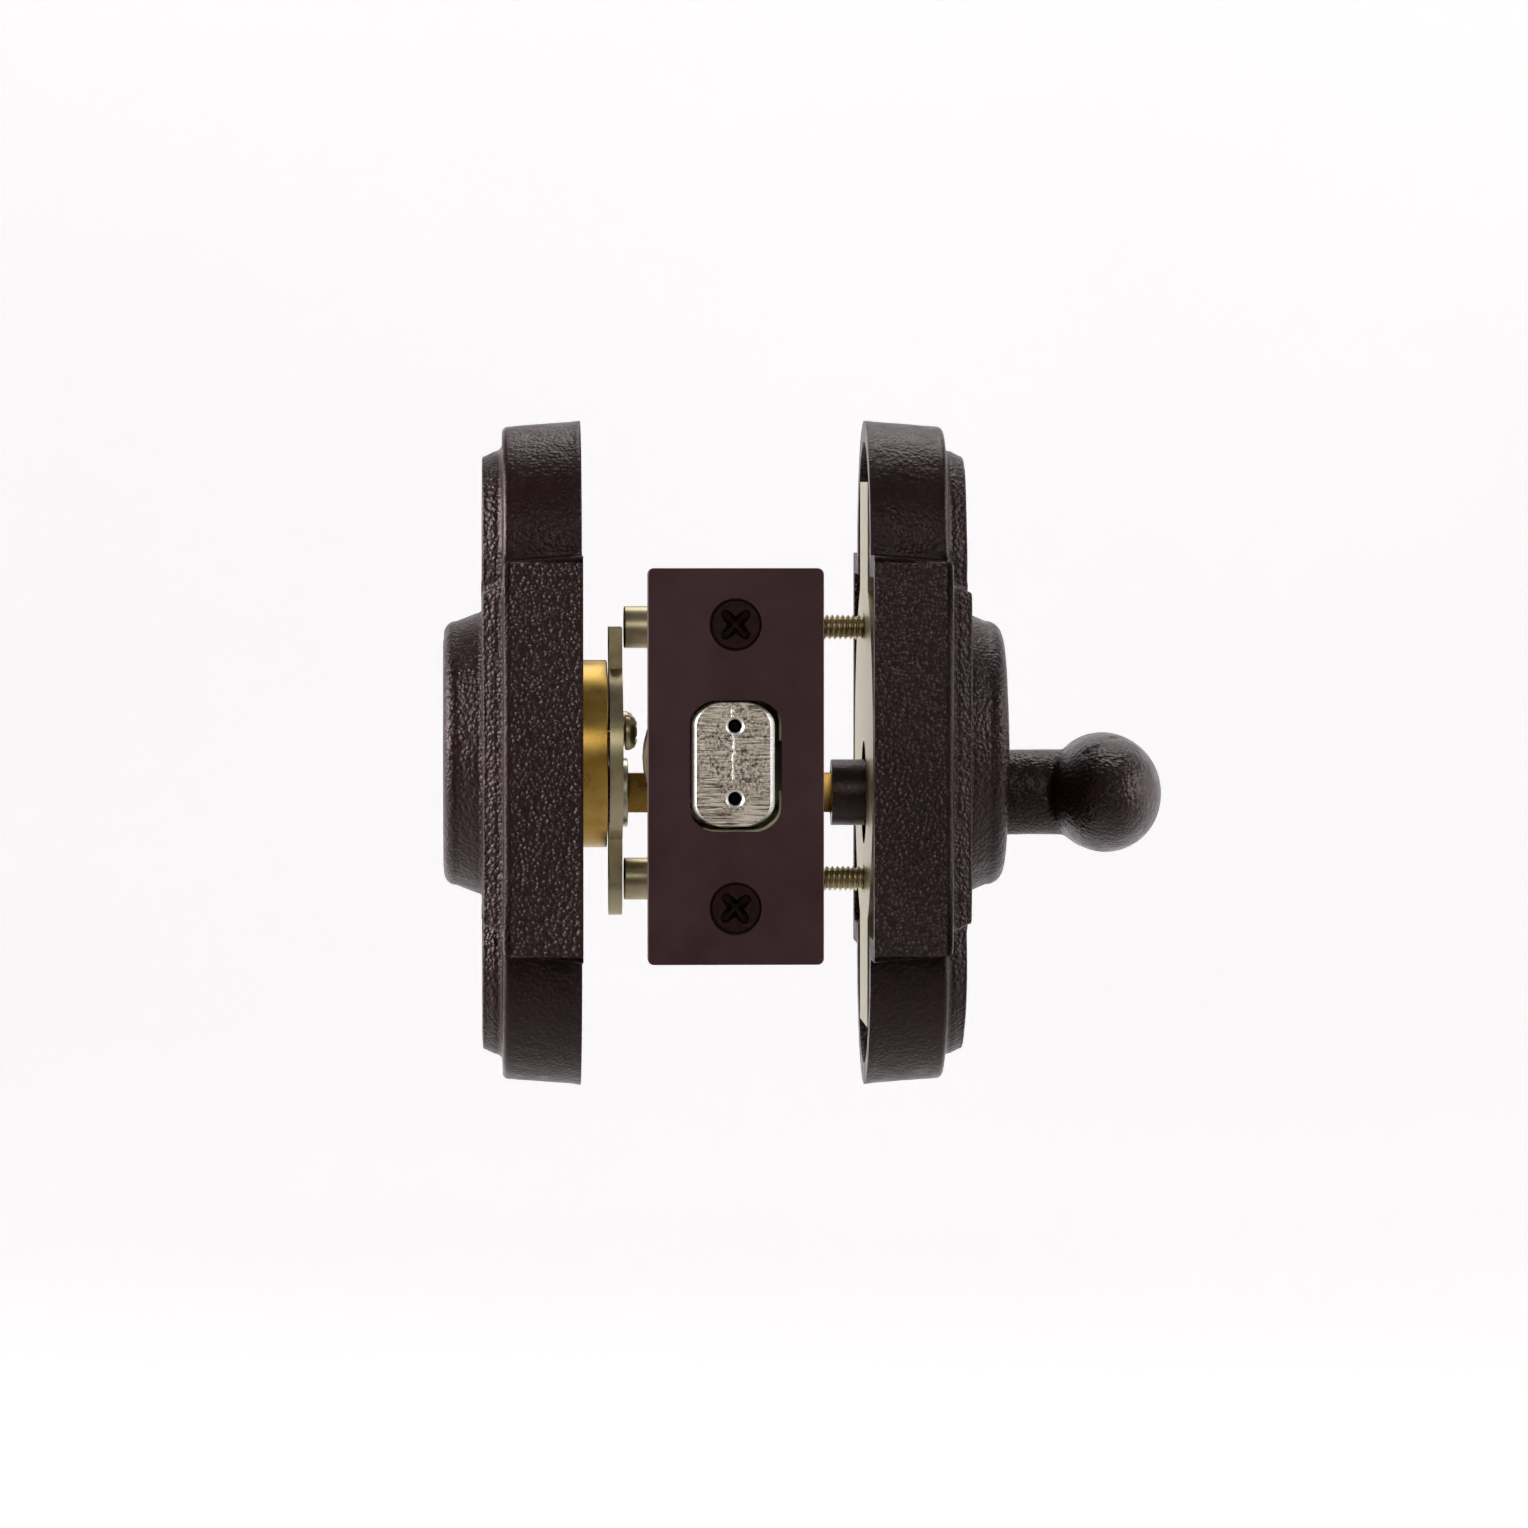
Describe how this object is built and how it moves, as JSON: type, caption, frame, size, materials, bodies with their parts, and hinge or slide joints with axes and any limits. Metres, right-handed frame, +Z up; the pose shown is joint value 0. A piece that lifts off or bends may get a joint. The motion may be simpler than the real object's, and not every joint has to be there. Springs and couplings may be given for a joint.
{
  "type": "deadbolt",
  "caption": "Tubular deadbolt with arched cast roses, a key cylinder outside, a thumbturn inside and a sliding bolt in an edge faceplate.",
  "frame": {"origin": "on the cross bore's axis, midway through the door", "axes": "+X through the door to the inside, -Y to the door's edge, +Z up"},
  "size_m": [0.1096, 0.0923, 0.1006],
  "materials": {
    "cast_dark_bronze": "rough sand casting with a near-black satin bronze patina",
    "dark_bronze_plate": "flat plate, dark brown satin, fine horizontal grain",
    "dark_screw": "dark satin screw",
    "brass": "machined, satin",
    "nickel_silver": "machined, satin",
    "brushed_nickel": "saw-brushed end, nickel plated",
    "zinc_plated_steel": "yellow zinc plating",
    "spring_steel": "bright drawn"
  },
  "bodies": {
    "fixed_set": {"backing_plate": "zinc_plated_steel", "bolt_tube": "zinc_plated_steel", "case_half_inner": "zinc_plated_steel", "case_half_outer": "zinc_plated_steel", "case_rivet_front": "zinc_plated_steel", "case_rivet_rear": "zinc_plated_steel", "chamber_cover": "brass", "clamp_screw_front": "zinc_plated_steel", "clamp_screw_rear": "zinc_plated_steel", "cylinder_body": "brass", "cylinder_clamp": "zinc_plated_steel", "detent_leaf": "spring_steel", "driver_pin_1": "nickel_silver", "driver_pin_2": "nickel_silver", "driver_pin_3": "nickel_silver", "driver_pin_4": "nickel_silver", "driver_pin_5": "nickel_silver", "driver_spring_1": "spring_steel", "driver_spring_2": "spring_steel", "driver_spring_3": "spring_steel", "driver_spring_4": "spring_steel", "driver_spring_5": "spring_steel", "edge_screw_lower": "dark_screw", "edge_screw_upper": "dark_screw", "exterior_rose": "cast_dark_bronze", "faceplate": "dark_bronze_plate", "interior_rose": "cast_dark_bronze", "mounting_plate": "zinc_plated_steel", "mounting_post_lower": "zinc_plated_steel", "mounting_post_upper": "zinc_plated_steel", "mounting_screw_lower": "zinc_plated_steel", "mounting_screw_upper": "zinc_plated_steel", "rose_set_screw": "dark_screw"},
    "turn_train": {"thumbturn": "cast_dark_bronze", "turn_washer": "spring_steel", "turn_clip": "spring_steel", "tailpiece": "brass", "crank": "zinc_plated_steel", "crank_pin": "spring_steel"},
    "plug": {"plug": "nickel_silver", "plug_clip": "spring_steel", "key_pin_1": "brass", "key_pin_2": "brass", "key_pin_3": "brass", "key_pin_4": "brass", "key_pin_5": "brass"},
    "bolt": {"bolt_head": "brushed_nickel", "bolt_rod_upper": "spring_steel", "bolt_rod_lower": "spring_steel", "bolt_slide": "zinc_plated_steel", "slide_pin": "spring_steel"}
  },
  "joints": [
    {"name": "turn", "type": "hinge", "parent": "fixed_set", "child": "turn_train", "pos_m": [0, 0, -0.006], "axis": [1, 0, 0], "range_deg": [0, 90]},
    {"name": "key_turn", "type": "hinge", "parent": "turn_train", "child": "plug", "pos_m": [0, 0, -0.006], "axis": [1, 0, 0], "range_deg": [-90, 0]},
    {"name": "bolt_throw", "type": "slide", "parent": "fixed_set", "child": "bolt", "axis": [0, -1, 0], "range_m": [0, 0.0254]}
  ],
  "couplings": [
    {"joint": "bolt_throw", "follows": "turn", "m_per_rad": 0.01617}
  ]
}
